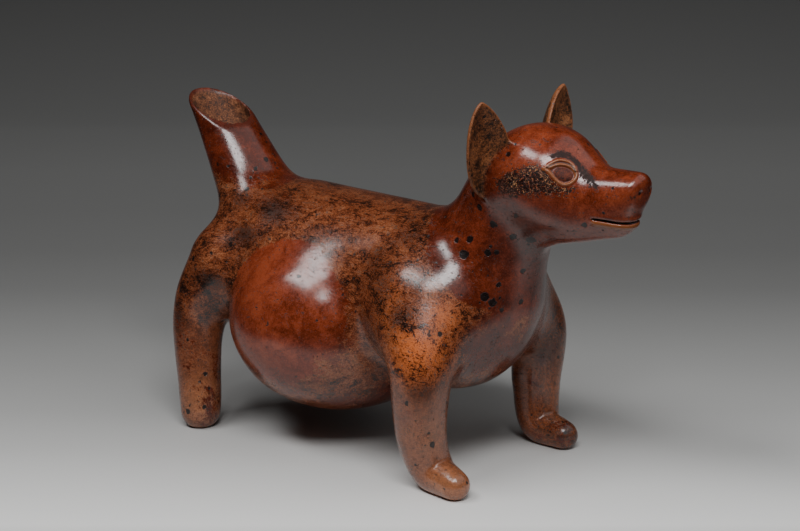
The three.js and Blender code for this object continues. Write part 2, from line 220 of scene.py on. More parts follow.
def limb(joints, spread=1.0, room=7.0):
    """A ball that runs through joints in one smooth curve and changes its radius on the way."""
    balls = np.array(joints, float)
    last = len(balls) - 1
    knots = np.vstack([2 * balls[0] - balls[1], balls, 2 * balls[-1] - balls[-2]])
    a, b, c, d = knots[:-3], knots[1:-2], knots[2:-1], knots[3:]
    curves = np.stack([b, (c - a) / 2, (2 * a - 5 * b + 4 * c - d) / 2, (3 * (b - c) + d - a) / 2])
    stops = 7 * last
    reach = balls[:, 3:].max() * max(spread, 1) + room
    low, high = balls[:, :3].min(0) - reach, balls[:, :3].max(0) + reach

    def gap(p, t):
        t = np.broadcast_to(t, len(p))
        index = np.clip(t.astype(int), 0, last - 1)
        s = (t - index)[:, None]
        start, turn, bend, twist = curves[:, index]
        place = start + s * (turn + s * (bend + s * twist))
        offset = p * (1, 1 / spread, 1) - place[:, :3]
        return np.sqrt((offset * offset).sum(1)) - place[:, 3]

    def exact(p):
        found = np.stack([gap(p, np.array(n * last / stops)) for n in range(stops + 1)])
        best = found.argmin(0)
        least = found[best, np.arange(len(p))]
        t = best * last / stops
        for step in (last / stops, 0.3 * last / stops):
            before, after = gap(p, t - step), gap(p, t + step)
            bow = before - 2 * least + after
            shift = np.where(bow > 1e-6, (before - after) / (2 * np.maximum(bow, 1e-6)), 0)
            other = np.clip(t + np.clip(shift, -1, 1) * step, 0, last)
            reached = gap(p, other)
            t = np.where(reached < least, other, t)
            least = np.minimum(reached, least)
        return least

    def field(p):
        result = np.full(len(p), room)
        near = ((p > low) & (p < high)).all(1)
        if near.any():
            result[near] = exact(p[near])
        return result

    return field


def above(at, lean):
    """How far points lie above a face that leans forward and to the right by some degrees."""
    turn, roll_over = math.radians(lean["forward"]), math.radians(lean["right"])
    level = math.cos(roll_over)
    up = np.array([level * math.sin(turn), -math.sin(roll_over), level * math.cos(turn)])
    return lambda p: (p - at) @ up


def ahead(at, lean):
    """How far points lie ahead of a face that leans back by some degrees."""
    turn = math.radians(lean)
    return lambda p: (p[:, 0] - at[0]) * math.cos(turn) - (p[:, 2] - at[2]) * math.sin(turn)


def ear_frame(side):
    """The middle of an ear, and the ways across it, up it and to its front."""
    out = np.sign(side(EAR["at"])[1])
    forward, aside = (math.radians(EAR_LEAN[name]) for name in ("forward", "out"))
    turn = math.radians(EAR_TURN["left" if side is left else "right"])
    rise = np.array(
        [math.sin(forward), out * math.sin(aside) * math.cos(forward), math.cos(aside) * math.cos(forward)]
    )
    front = np.array([math.cos(turn), out * math.sin(turn), 0])
    front -= rise * (front @ rise)
    front /= np.linalg.norm(front)
    return np.array(side(EAR["at"])), np.array([np.cross(rise, front), rise, front])


def ear(side):
    """A leaf of clay with a narrow tip, a round back, a dished front and edges curled forward."""
    wide, thick, tall = EAR["half"]
    middle, ways = ear_frame(side)
    room = 6.0

    def exact(p):
        across, up, front = ((p - middle) @ ways.T).T
        front = front - EAR_CURL * across**2 / 100
        narrow = np.clip(1 - up / tall, 0.03, 2) ** EAR_POINT
        half = np.stack([wide * narrow, np.full(len(p), tall), np.full(len(p), thick)], 1)
        leaf = egg_depth(np.stack([across, up, front], 1), half)
        middling = np.clip(1 - (across / (wide * narrow)) ** 2 - (up / tall) ** 2, -0.4, 1)
        dish = front - 0.22 + 0.85 * middling
        return -blend(-leaf, -dish, 0.6)

    def field(p):
        result = np.full(len(p), room)
        near = np.abs(p - middle).max(1) < tall + room
        if near.any():
            result[near] = exact(p[near])
        return result

    return field


def fore_leg(side, toe):
    end = (TOES["along"], toe, TOES["up"], TOES["radius"])
    return limb([side(joint) for joint in [*FORE_LEG, end]])


back = merge(horn(LOIN, WITHERS, BARREL_SPREAD), ball(RUMP), SOFT["back"])
trunk = merge(merge(back, egg(CHEST), SOFT["back"]), egg(BELLY), SOFT["belly"])
skull = egg(SKULL)
snout = merge(horn(*MUZZLE), horn(*JAW), SOFT["jaw"])
head = merge(skull, trim(snout, ahead(NOSE, NOSE_LEAN), SOFT["jaw"]), SOFT["head"])
torso = merge(trunk, merge(horn(*NECK), head, SOFT["head"]), SOFT["neck"])
over_lip = above(LIP, LIP_LEAN)
bare_skin = torso
for form, soft in (
    (limb(HIND_LEG), SOFT["haunch"]),
    (limb([right(joint) for joint in HIND_LEG]), SOFT["haunch"]),
    (fore_leg(left, TOES["left"]), SOFT["shoulder"]),
    (fore_leg(right, TOES["right"]), SOFT["shoulder"]),
    (trim(limb(TAIL, TAIL_SPREAD), over_lip, SOFT["edge"]), SOFT["tail"]),
):
    bare_skin = merge(bare_skin, form, soft)


def slope(field, p, step=0.06):
    ways = []
    for axis in range(3):
        shift = np.zeros(3)
        shift[axis] = step
        ways.append((field(p + shift) - field(p - shift)) / (2 * step))
    return np.stack(ways, 1)


def settle(field, p, rounds=4, most=0.6):
    """Moves points on to a field's surface."""
    p = p.copy()
    for _ in range(rounds):
        way = slope(field, p)
        steep = np.maximum((way * way).sum(1), 0.1)
        move = -way * (field(p) / steep)[:, None]
        size = np.linalg.norm(move, axis=1)
        p += move * np.minimum(1, most / np.maximum(size, 1e-9))[:, None]
    return p


def smooth_line(points, closed, stops=10):
    """Points along the smooth curve through the given ones."""
    given = np.array(points, float)
    if closed:
        knots = np.vstack([given[-1], given, given[:2]])
    else:
        knots = np.vstack([2 * given[0] - given[1], given, 2 * given[-1] - given[-2]])
    a, b, c, d = knots[:-3], knots[1:-2], knots[2:-1], knots[3:]
    s = np.arange(stops)[:, None, None] / stops
    line = b + s * ((c - a) / 2 + s * ((2 * a - 5 * b + 4 * c - d) / 2 + s * (3 * (b - c) + d - a) / 2))
    return line.transpose(1, 0, 2).reshape(-1, 2)


def off_line(q, line):
    return np.linalg.norm(q[:, None] - line[None], axis=2).min(1)


def inside_line(q, line):
    """Whether points lie inside a closed line."""
    start, end = line[None], np.roll(line, -1, axis=0)[None]
    u, v = q[:, :1], q[:, 1:]
    spans = (start[..., 1] > v) != (end[..., 1] > v)
    rise = np.where(spans, end[..., 1] - start[..., 1], 1)
    crossing = start[..., 0] + (v - start[..., 1]) * (end[..., 0] - start[..., 0]) / rise
    return (spans & (u < crossing)).sum(1) % 2 == 1


def roll(distance, half_width):
    return np.clip(1 - (distance / half_width) ** 2, 0, None) ** 2


class Eye:
    """The place of an eye on the skin, with its ways to the front and up the cheek."""

    def __init__(self, side):
        self.middle = settle(bare_skin, np.array([side(EYE)], float), rounds=12)[0]
        off = slope(bare_skin, self.middle[None])[0]
        off /= np.linalg.norm(off)
        level = np.cross((0, 0, 1), off)
        level /= np.linalg.norm(level) * np.sign(level[0])
        rise = np.array([0, 0, 1]) - off * off[2]
        rise /= np.linalg.norm(rise)
        turn = math.radians(EYE_TILT)
        self.front = level * math.cos(turn) + rise * math.sin(turn)
        self.up = rise * math.cos(turn) - level * math.sin(turn)
        self.off = off

    def lie(self, p):
        return np.stack([(p - self.middle) @ self.front, (p - self.middle) @ self.up], 1)

    def relief(self, p):
        """How far the carving of the eye stands off the skin."""
        q = self.lie(p)
        rim = off_line(q, EYE_RIM_LINE)
        lid = off_line(q, EYELID_LINE)
        inside = inside_line(q, EYE_RIM_LINE)
        reach = np.linalg.norm((q - EYEBALL["at"]) / EYEBALL["half"], axis=1)
        dome = 0.34 * np.sqrt(np.clip(1 - reach**2, 0, 1))
        socket = np.where(inside, -0.2 * np.clip(rim / 0.3, 0, 1) + dome, 0)
        cut = roll(off_line(q, EYELID_GROOVE), 0.3)
        return socket + 0.24 * roll(rim, 0.42) + 0.17 * roll(lid, 0.42) - 0.1 * cut


EYE_RIM_LINE = smooth_line(EYE_OUTLINE, closed=True)
EYELID_LINE = smooth_line(EYELID, closed=False)
EYELID_GROOVE = smooth_line([(x + 0.02, y - 0.36) for x, y in EYELID], closed=False)
eyes = [Eye(side) for side in (left, right)]


def mouth_lie(p):
    """The angle round the snout from its front, and the height over the line of the mouth."""
    x, _, z = MOUTH["at"]
    angle = np.arctan2(p[:, 1], p[:, 0] - x)
    return angle, p[:, 2] - z - MOUTH["rise"] * np.sin(angle) ** 2


def mouth_relief(p):
    angle, over = mouth_lie(p)
    open_part = np.clip((math.radians(93) - np.abs(angle)) / math.radians(9), 0, 1)
    lips = 0.2 * roll(over + 0.78, 0.72) + 0.05 * roll(over - 0.6, 0.5)
    return open_part * (lips - 0.42 * roll(over, 0.3))


WAVES = np.random.default_rng(7)
WAVE_WAYS = WAVES.normal(size=(9, 3))
WAVE_WAYS *= (2 * np.pi / WAVES.uniform(5, 13, 9) / np.linalg.norm(WAVE_WAYS, axis=1))[:, None]
WAVE_STARTS = WAVES.uniform(0, 2 * np.pi, 9)


def unevenness(p):
    """The slight waviness of a hand-built wall, mostly inward."""
    return 0.035 * (1 + np.sin(p @ WAVE_WAYS.T + WAVE_STARTS).mean(1) * 2)


ears = merge(ear(left), ear(right), 0.5)
nostrils = np.array(NOSTRILS)


def carving(p):
    """How far what is carved or laid on the head stands off it."""
    relief = np.zeros(len(p))
    for eye in eyes:
        near = np.linalg.norm(p - eye.middle, axis=1) < 4.5
        if near.any():
            relief[near] += eye.relief(p[near])
    near = (p[:, 0] > MOUTH["at"][0] - 1) & (np.abs(p[:, 2] - MOUTH["at"][2]) < 2.5)
    if near.any():
        relief[near] += mouth_relief(p[near])
    for nostril in nostrils:
        relief -= 0.9 * np.exp(-(((p - nostril) ** 2).sum(1)) / 0.42**2)
    return relief


def carved_form(p):
    return blend(bare_skin(p) - carving(p), ears(p), SOFT["ear"])


def outside(p):
    clay = carved_form(p) + unevenness(p)
    return -blend(-clay, p[:, 2], 0.5)


def hollow():
    """The hollow of the body, neck and skull, with the roots of the legs and the tail."""
    roots = [side(root) for root in (HIND_LEG[0], FORE_LEG[0]) for side in (left, right)]
    field = merge(trunk, merge(horn(*NECK), skull, SOFT["head"]), SOFT["neck"])
    for root in [*roots, TAIL[0]]:
        field = merge(field, ball(root), SOFT["haunch"])
    return thinner(field, WALL)


def block(form):
    middle, half = form["at"], form["half"]
    return lambda p: np.abs((p - middle) / half).max(1) * half[1] - half[1]


def bore():
    """The bore of the spout, which opens out a little at the lip."""
    radius = TAIL[1][3]
    spread = (TAIL_SPREAD * radius - SPOUT_WALL) / (radius - SPOUT_WALL)
    pipe = limb([(x, y, z, r - SPOUT_WALL) for x, y, z, r in TAIL], spread)
    open_pipe, limit = merge(pipe, lambda p: 0.15 - over_lip(p), 0.9), block(BORE_BLOCK)
    return lambda p: np.maximum(open_pipe(p), limit(p))


def depths(field, low, high, cell):
    """How far the corners of a box's cells lie outside a form, worked out finely only near it."""
    stride = 4
    counts = (np.ceil((high - low) / cell / stride).astype(int) + 1) * stride + 1
    axes = [low[k] + np.arange(counts[k]) * cell for k in range(3)]
    coarse = np.stack(np.meshgrid(*[axis[::stride] for axis in axes], indexing="ij"), -1)
    rough = field(coarse.reshape(-1, 3)).reshape(coarse.shape[:3])
    nearest = [np.clip((np.arange(n) + stride // 2) // stride, 0, (n - 1) // stride) for n in counts]
    depth = rough[np.ix_(*nearest)]
    close = np.argwhere(np.abs(depth) < 1.5 * stride * cell)
    places = np.stack([axes[k][close[:, k]] for k in range(3)], 1)
    depth[tuple(close.T)] = field(places)
    return depth


def net(field, low, high, cell):
    """A closed mesh of a field's surface: one point in each cell that the surface crosses, and two
    triangles round each cell edge that it crosses."""
    low, high = np.array(low, float), np.array(high, float)
    depth = depths(field, low, high, cell)
    number = np.arange(depth.size).reshape(depth.shape)
    rings, crossings = [], []
    for axis in range(3):
        here = np.moveaxis(depth, axis, 0)[:-1]
        there = np.moveaxis(depth, axis, 0)[1:]
        spots = np.argwhere((here < 0) != (there < 0))
        at = tuple(spots.T)
        share = here[at] / (here[at] - there[at])
        inside_first = here[at] < 0
        order = [axis] + [k for k in range(3) if k != axis]
        node = np.empty_like(spots)
        node[:, order] = spots
        place = low + node * cell
        place[:, axis] += share * cell
        b, c = (axis + 1) % 3, (axis + 2) % 3
        ring = []
        for back_b, back_c in ((0, 0), (-1, 0), (-1, -1), (0, -1)):
            corner = node.copy()
            corner[:, b] += back_b
            corner[:, c] += back_c
            ring.append(number[tuple(corner.T)])
        ring = np.stack(ring, 1)
        ring[~inside_first] = ring[~inside_first][:, ::-1]
        rings.append(ring)
        crossings.append(place)
    ring, crossing = np.vstack(rings), np.vstack(crossings)
    _, corner = np.unique(ring, return_inverse=True)
    corner = corner.reshape(ring.shape)
    hits = np.bincount(corner.ravel())
    sums = [np.bincount(corner.ravel(), np.repeat(crossing[:, k], 4)) for k in range(3)]
    points = settle(field, np.stack(sums, 1) / hits[:, None])
    a, b, c, d = (points[corner[:, k]] for k in range(4))
    first = np.linalg.norm(a - c, axis=1) < np.linalg.norm(b - d, axis=1)
    halves = np.where(first[:, None], corner[:, [0, 1, 2, 0, 2, 3]], corner[:, [0, 1, 3, 1, 2, 3]])
    return points, halves.reshape(-1, 3)


def refine(field, points, faces, wanted, rounds):
    """Splits each edge that is longer than wanted there, and lays its middle on the surface."""
    for _ in range(rounds):
        sides = np.sort(faces[:, [0, 1, 1, 2, 2, 0]].reshape(-1, 2), axis=1)
        key, where = np.unique(sides[:, 0] * len(points) + sides[:, 1], return_inverse=True)
        ends = np.stack([key // len(points), key % len(points)], 1)
        middle = points[ends].mean(1)
        long = np.linalg.norm(points[ends[:, 0]] - points[ends[:, 1]], axis=1) > wanted(middle)
        number = np.full(len(key), -1)
        number[long] = len(points) + np.arange(long.sum())
        points = np.vstack([points, settle(field, middle[long], most=0.2)])
        cuts = number[where.reshape(-1, 3)]
        made = (cuts >= 0).sum(1)
        # Turned so that the first edge is cut, and with two cuts the third edge is whole
        turn = np.zeros(len(faces), int)
        for k in range(3):
            first, third = cuts[:, k] >= 0, cuts[:, (k + 2) % 3] < 0
            turn[(made < 3) & first & third] = k
        rows = np.arange(len(faces))
        p, q, r = (faces[rows, (turn + k) % 3] for k in range(3))
        pq, qr, rp = (cuts[rows, (turn + k) % 3] for k in range(3))
        pieces = [faces[made == 0]]
        for count, corners in (
            (1, ((p, pq, r), (pq, q, r))),
            (2, ((pq, q, qr), (p, pq, qr), (p, qr, r))),
            (3, ((p, pq, rp), (pq, q, qr), (rp, qr, r), (pq, qr, rp))),
        ):
            these = made == count
            pieces += [np.stack([corner[these] for corner in triangle], 1) for triangle in corners]
        faces = np.vstack(pieces)
    return points, faces


def ear_reach(p, side):
    """How far out each point lies on an ear, where its edge is at 1, and whether it is near it."""
    middle, ways = ear_frame(side)
    across, up, _ = ((p - middle) @ ways.T).T
    wide, _, tall = EAR["half"]
    narrow = wide * np.clip(1 - up / tall, 0.03, 2) ** EAR_POINT
    return np.hypot(across / narrow, up / tall), np.linalg.norm(p - middle, axis=1) < tall + 2


def fine_places(p):
    """The longest edge that is wanted at each point."""
    wanted = np.full(len(p), 9.0)
    for side in (left, right):
        reach, near = ear_reach(p, side)
        rim = near & (np.abs(reach - 0.95) < 0.17) & (p[:, 2] > 57)
        wanted = np.where(rim, FINE_EDGE["ear rim"], wanted)
    for eye in eyes:
        away = np.linalg.norm(p - eye.middle, axis=1)
        fine = np.where(away < 3.8, FINE_EDGE["eye"], FINE_EDGE["round the eye"])
        wanted = np.where(away < 4.2, fine, wanted)
    angle, over = mouth_lie(p)
    in_front = (p[:, 0] > MOUTH["at"][0] - 1) & (np.abs(angle) < math.radians(100))
    wanted = np.where(in_front & (np.abs(over) < 1.1), FINE_EDGE["mouth"], wanted)
    for nostril in nostrils:
        away = np.linalg.norm(p - nostril, axis=1)
        wanted = np.where(away < 1.0, FINE_EDGE["nostril"], wanted)
    lip = (p[:, 0] < LIP[0] + 12) & (np.abs(over_lip(p)) < 0.8)
    return np.where(lip, FINE_EDGE["lip"], wanted)


def mesh_object(name, points, faces):
    mesh = bpy.data.meshes.new(name)
    mesh.vertices.add(len(points))
    mesh.vertices.foreach_set("co", points.astype(np.float32).ravel())
    mesh.loops.add(faces.size)
    mesh.loops.foreach_set("vertex_index", faces.astype(np.int32).ravel())
    mesh.polygons.add(len(faces))
    mesh.polygons.foreach_set("loop_start", np.arange(0, faces.size, 3, dtype=np.int32))
    mesh.update(calc_edges=True)
    mesh.validate()
    made = bpy.data.objects.new(name, mesh)
    bpy.context.scene.collection.objects.link(made)
    return made


def open_edges(faces):
    """How many edges aren't shared by just two faces."""
    sides = np.sort(faces[:, [0, 1, 1, 2, 2, 0]].reshape(-1, 2), axis=1)
    _, count = np.unique(sides, axis=0, return_counts=True)
    return int((count != 2).sum())


def take_away(piece, tool):
    """Cuts a tool out of a piece, and deletes the tool."""
    cut = piece.modifiers.new("hollow", "BOOLEAN")
    cut.operation = "DIFFERENCE"
    cut.solver = "MANIFOLD"
    cut.object = tool
    made = bpy.data.meshes.new_from_object(piece.evaluated_get(bpy.context.evaluated_depsgraph_get()))
    piece.modifiers.clear()
    old, piece.data = piece.data, made
    bpy.data.meshes.remove(old)
    bpy.data.objects.remove(tool)


def drop_crumbs(piece):
    """Deletes the loose crumbs that the thin rims of the ears leave beside the body."""
    body = bmesh.new()
    body.from_mesh(piece.data)
    part = [-1] * len(body.verts)
    for first in body.verts:
        if part[first.index] >= 0:
            continue
        part[first.index] = first.index
        todo = [first]
        while todo:
            for edge in todo.pop().link_edges:
                for end in edge.verts:
                    if part[end.index] < 0:
                        part[end.index] = first.index
                        todo.append(end)
    largest = np.bincount(part).argmax()
    crumbs = [vertex for vertex in body.verts if part[vertex.index] != largest]
    bmesh.ops.delete(body, geom=crumbs, context="VERTS")
    body.to_mesh(piece.data)
    body.free()


def dog_vessel():
    """The vessel laid over the solid, and how its points were shifted and then grown for that."""
    points, faces = net(outside, *NETS["skin"])
    points, faces = refine(outside, points, faces, fine_places, 2)
    print("skin", len(points), len(faces), "open edges", open_edges(faces))
    points[:, 2] = np.where(points[:, 2] < 0.02, 0, points[:, 2])
    low, high = points.min(0), points.max(0)
    aside = min(solid_low.y / low[1], solid_high.y / high[1])
    grow = np.array([(solid_high.x - solid_low.x) / (high[0] - low[0]), aside, solid_high.z / high[2]])
    shift = np.array([(low[0] + high[0]) / 2, 0, 0])
    vessel = mesh_object("burnished_dog_vessel", (points - shift) * grow, faces)
    for name, field in (("hollow", hollow()), ("bore", bore())):
        points, faces = net(field, *NETS[name])
        print(name, len(points), len(faces), "open edges", open_edges(faces))
        take_away(vessel, mesh_object(name, (points - shift) * grow, faces))
    drop_crumbs(vessel)
    vessel.data.shade_smooth()
    return vessel, shift, grow


vessel, shift, grow = dog_vessel()
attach(vessel, "root")
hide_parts("forequarters", "barrel", "hindquarters")
print("faces", len(vessel.data.polygons))


def blob(p, at, size):
    """1 in the middle of a soft spot, which has no edge, and 0 far from it."""
    return np.exp(-((((p - at) / size) ** 2).sum(1)))


def step(value, start, end):
    """0 before the start and 1 after the end, with a smooth change between them."""
    t = np.clip((value - start) / (end - start), 0, 1)
    return t * t * (3 - 2 * t)


# Where the clay is worn to orange, dark, pale or set with black specks: [along, across, up] in
# hundredths of the length, then the reach along, across and up, and how strong it is there.
DARK_SPOTS = [
    ((-17, -10.1, 41.6), (5, 4, 2.2), 0.9),
    ((-21.4, -13.9, 37.1), (3.5, 4, 2.2), 0.9),
    ((-27, -17.6, 28.6), (3.2, 3, 1.8), 1.0),
    ((13.8, -17.8, 31), (2.2, 4, 6), 0.65),
    ((9.5, -14, 37), (3.5, 4, 4), 0.45),
    # Darker along the top of the back, partly as painted shade
    ((-12, 0, 45), (18, 8, 3.5), 0.35),
    ((12.6, -9.6, 41.4), (4, 4, 2.5), 0.6),
    ((6.4, -15, 19.3), (4, 5, 5), 0.15),
    ((11, -16, 25), (3, 4, 5), 0.35),
    ((18.8, -18.5, 30), (3, 3, 2), 0.9),
    ((-27.3, -9, 41.8), (3, 3, 1.5), 0.6),
    ((-34.1, -18.4, 20.8), (1.5, 3, 4), 0.8),
    ((27.5, -18.5, 19.5), (1.6, 2.5, 4), 0.8),
    ((24.8, -21, 18.5), (3, 2, 1.6), 0.7),
    ((24.5, 15, 17), (5, 5, 9), 0.9),
    ((28, 14.5, 4), (7, 6, 5.5), 1.1),
    ((28, 0, 20), (4, 6, 4), 0.4),
]
PALE_SPOTS = [
    ((-27.4, -16.9, 33), (2.6, 3.5, 4.2), 0.6),
    ((-22, -14, 40), (4, 4, 1.8), 0.5),
    ((-9.5, -1, 44.6), (10, 4, 2.2), 0.35),
    ((7.1, -10, 40.5), (5, 4, 3.5), 0.6),
    ((-6.7, -9, 42), (8, 3.5, 2), 0.45),
    # Paler on the low belly, partly as painted bounce light from the floor
    ((5, -16, 20), (7, 5, 4), 0.7),
    ((28.5, -19.3, 3.4), (5, 4, 3.2), 0.9),
    ((-28.4, -18.9, 5.0), (4, 4, 5), 0.9),
    ((25.8, -20, 9), (4, 4, 6), 0.5),
]
ORANGE_SPOTS = [
    ((22.5, -19.5, 25.2), (4.2, 5, 4.6), 1.0),
    ((24.1, -16.1, 30.3), (3.5, 4, 3), 0.7),
    ((20.3, -20.6, 27), (2.4, 3, 3.5), 0.7),
    ((15, -17, 30), (2.5, 4, 6), 0.5),
    ((-16, -20, 27), (2.2, 4, 7), 0.3),
    ((28, 14.5, 4), (7, 6, 6), 1.0),
    ((24.5, 15, 15), (5, 5, 9), 0.7),
]
SPECK_SPOTS = [
    ((24, -9, 41), (7, 6, 8), 0.8),
    ((29, -8, 32), (4, 4, 3), 0.8),
    ((29, -13, 57), (4, 4, 7), 0.9),
    ((-29, 0, 48), (4, 5, 3.5), 1.0),
    ((-24, -5, 44.5), (5, 5, 2), 0.8),
    ((-28.5, -18.5, 3.5), (4, 4, 4), 0.9),
    ((27, -19, 9), (3.5, 4, 6), 0.4),
    ((28, 13, 3), (5, 5, 3), 0.9),
    ((0, -17, 31), (6, 4, 4), 0.25),
]


def spots(p, table):
    """What a table of soft spots makes at each point. Spots on the right side are on both sides."""
    total = np.zeros(len(p))
    for at, size, strength in table:
        places = (at,) if abs(at[1]) < 2 or at[1] > 8 else (at, right(at))
        for place in places:
            total = np.maximum(total, strength * blob(p, place, size))
    return total


def clean(p):
    """How much of the red slip is left unworn: on the neck, head, chest, tail, flank and belly."""
    neck = step(0.69 * p[:, 0] + 0.72 * p[:, 2], 40.6, 42.6)
    chest = 0.55 * step(p[:, 0], 21, 28) * step(np.abs(p[:, 1]), 15, 9)
    tail = step(p[:, 2] + 0.1 * p[:, 0], 39.5, 45) * step(-p[:, 0], 20, 23)
    u, w = (p[:, 0] + 8.7) / 12.6, (p[:, 2] - 26.2) / 12
    broken = step(u - 0.7 * w, 0.0, 1.1)
    soft = 0.05 + 0.5 * broken
    flank = step((np.hypot(u, w) - 1) / soft, 1, -1) * step(np.abs(p[:, 1]), 6, 9)
    belly = 0.4 * step(p[:, 2], 18, 12) * step(np.abs(p[:, 0] + 8), 24, 14)
    return np.max([neck, chest, tail, flank, belly], axis=0)


# The dark smear behind and below an eye, and the one over it, as lines round them
BAND_LINE = smooth_line(
    [
        (-12.4, -5.2), (-11.2, -3.6), (-9.8, -2.3), (-7.2, -0.7), (-5.0, 0.2), (-2.9, 0.0),
        (-1.0, -1.5), (0.8, -2.0), (2.3, -1.9), (2.2, -2.8), (0.9, -3.3), (-2.8, -4.4),
        (-7.3, -5.3), (-10.3, -5.8),
    ],
    closed=True,
)
BROW_LINE = smooth_line(
    [
        (-2.6, 2.3), (-1.5, 3.2), (-0.25, 3.4), (1.2, 2.9), (2.5, 1.9), (4.6, 0.2), (5.6, -1.2),
        (4.6, -0.9), (2.6, 0.7), (1.6, 2.0), (0.2, 2.5), (-1.4, 2.4),
    ],
    closed=True,
)


def depth_in(q, line):
    """How deep points lie inside a closed line. It is negative outside it."""
    edge = off_line(q, line)
    return np.where(inside_line(q, line), edge, -edge)


def carved_places(p, on_ear):
    """Where the head is raised, sunken or smeared behind or over an eye, and where an eyeball is."""
    raised, sunken, band, brow, eyeball = (np.zeros(len(p)) for _ in range(5))
    for side in (left, right):
        reach, near = ear_reach(p, side)
        raised += 0.75 * step(reach, 0.84, 0.97) * on_ear * near
    for eye in eyes:
        near = np.linalg.norm(p - eye.middle, axis=1) < 15
        q = eye.lie(p[near])
        facing = step((p[near] - eye.middle) @ eye.off, -6, -4.5)
        off_rim, off_lid = off_line(q, EYE_RIM_LINE), off_line(q, EYELID_LINE)
        raised[near] += np.maximum(step(off_rim, 0.42, 0.15), 0.75 * step(off_lid, 0.34, 0.1)) * facing
        # The groove under the lid and the ring inside the rim are sunken, and get painted shade
        groove = step(off_line(q, EYELID_GROOVE), 0.3, 0.08)
        within = inside_line(q, EYE_RIM_LINE)
        ring = within * step(off_rim, 0.75, 0.45) * step(off_rim, 0.2, 0.45)
        sunken[near] += np.maximum(0.6 * groove, 0.6 * ring) * facing
        away = np.linalg.norm((q - EYEBALL["at"]) / EYEBALL["half"], axis=1)
        eyeball[near] += step(away, 1.1, 0.85) * facing
        outer = step(off_rim, 0.1, 0.6) * ~within
        band[near] += step(depth_in(q, BAND_LINE), -1.1, 1.5) * facing * outer
        off_eyelid = step(off_lid, 0.25, 0.5)
        brow[near] += step(depth_in(q, BROW_LINE), -0.75, 0.15) * facing * off_eyelid
    angle, height = mouth_lie(p)
    lips = (p[:, 0] > MOUTH["at"][0] - 1) & (np.abs(height) < 2)
    reach = step(np.abs(angle), math.radians(96), math.radians(86)) * lips
    raised += reach * step(np.abs(height + 0.72), 0.6, 0.3)
    # The mouth's slit and the nostrils are sunken, and get painted shade
    sunken += reach * step(np.abs(height), 0.3, 0.12)
    for nostril in nostrils:
        away = np.linalg.norm(p - nostril, axis=1)
        sunken += step(away, 0.62, 0.4)
        below = np.linalg.norm(p - nostril + (0.1, 0, 0.8), axis=1)
        raised += 0.7 * step(below, 0.4, 0.2)
    return raised, sunken, band, brow, eyeball


def paint_places(piece, shift, grow):
    """Lays on the mesh what the clay is like at each point, and what part of the vessel it is."""
    co = np.zeros(len(piece.data.vertices) * 3, np.float32)
    piece.data.vertices.foreach_get("co", co)
    p = co.reshape(-1, 3).astype(float) / grow + shift
    inside = step(-carved_form(p), 0.12, 0.45)
    lip = step(over_lip(p), -0.6, -0.15) * step(-p[:, 0], 28, 30)
    on_ear = step(ears(p) - bare_skin(p), 0.5, -0.9)
    raised, sunken, band, brow, eyeball = carved_places(p, on_ear)
    fresh = clean(p) * (1 - on_ear)
    leg = step(p[:, 2], 22, 16) * step(np.abs(p[:, 1]), 8, 12) * step(np.abs(p[:, 0]), 16, 19)
    flank = step(np.hypot((p[:, 0] + 9) / 14, (p[:, 2] - 26) / 13), 1.3, 0.7) * step(np.abs(p[:, 1]), 6, 9)
    crown = step(p[:, 2] - 0.35 * p[:, 0], 38.5, 43) * step(p[:, 0], 26, 31)
    # The snout and jaw: the paler slip there is painted bounce light from the floor
    snout = step(p[:, 0], 32, 40) * step(p[:, 2], 58, 51)
    values = {
        "paler_slip_and_painted_bounce": np.max([flank, 0.9 * crown, snout], axis=0),
        "worn": (1 - fresh) * (1 - 0.12 * leg),
        "dark": np.clip(spots(p, DARK_SPOTS), 0, 1),
        "pale": np.clip(spots(p, PALE_SPOTS), 0, 1),
        "orange": np.clip(spots(p, ORANGE_SPOTS), 0, 1),
        "specks": np.clip(spots(p, SPECK_SPOTS), 0, 1),
        "ear": on_ear * (1 - inside),
        "raised": np.clip(raised, 0, 1) * (1 - inside),
        "sunken": np.clip(sunken, 0, 1) * (1 - inside),
        "band": np.clip(band, 0, 1) * (1 - on_ear),
        "brow": np.clip(brow, 0, 1),
        "inside": inside,
        "lip": lip,
        "eyeball": np.clip(eyeball, 0, 1),
        "leg": leg,
    }
    for name, value in values.items():
        layer = piece.data.attributes.new(name, "FLOAT", "POINT")
        layer.data.foreach_set("value", value.astype(np.float32))


class Wire:
    """A number or a place in a material, which sums can be made of."""

    def __init__(self, look, socket):
        self.look, self.socket = look, socket

    def __add__(self, other):
        return self.look.math("ADD", self, other)

    __radd__ = __add__

    def __sub__(self, other):
        return self.look.math("SUBTRACT", self, other)

    def __rsub__(self, other):
        return self.look.math("SUBTRACT", other, self)

    def __mul__(self, other):
        return self.look.math("MULTIPLY", self, other)

    __rmul__ = __mul__

    def least(self, other):
        return self.look.math("MINIMUM", self, other)

    def most(self, other):
        return self.look.math("MAXIMUM", self, other)

    def between(self, start, end):
        """0 before the start and 1 after the end, with a smooth change between them."""
        low, high = (start, end) if start < end else (end, start)
        ends = (0.0, 1.0) if start < end else (1.0, 0.0)
        values = {"Value": self, "From Min": low, "From Max": high, "To Min": ends[0], "To Max": ends[1]}
        return self.look.node("MapRange", {"interpolation_type": "SMOOTHSTEP"}, values, "Result")


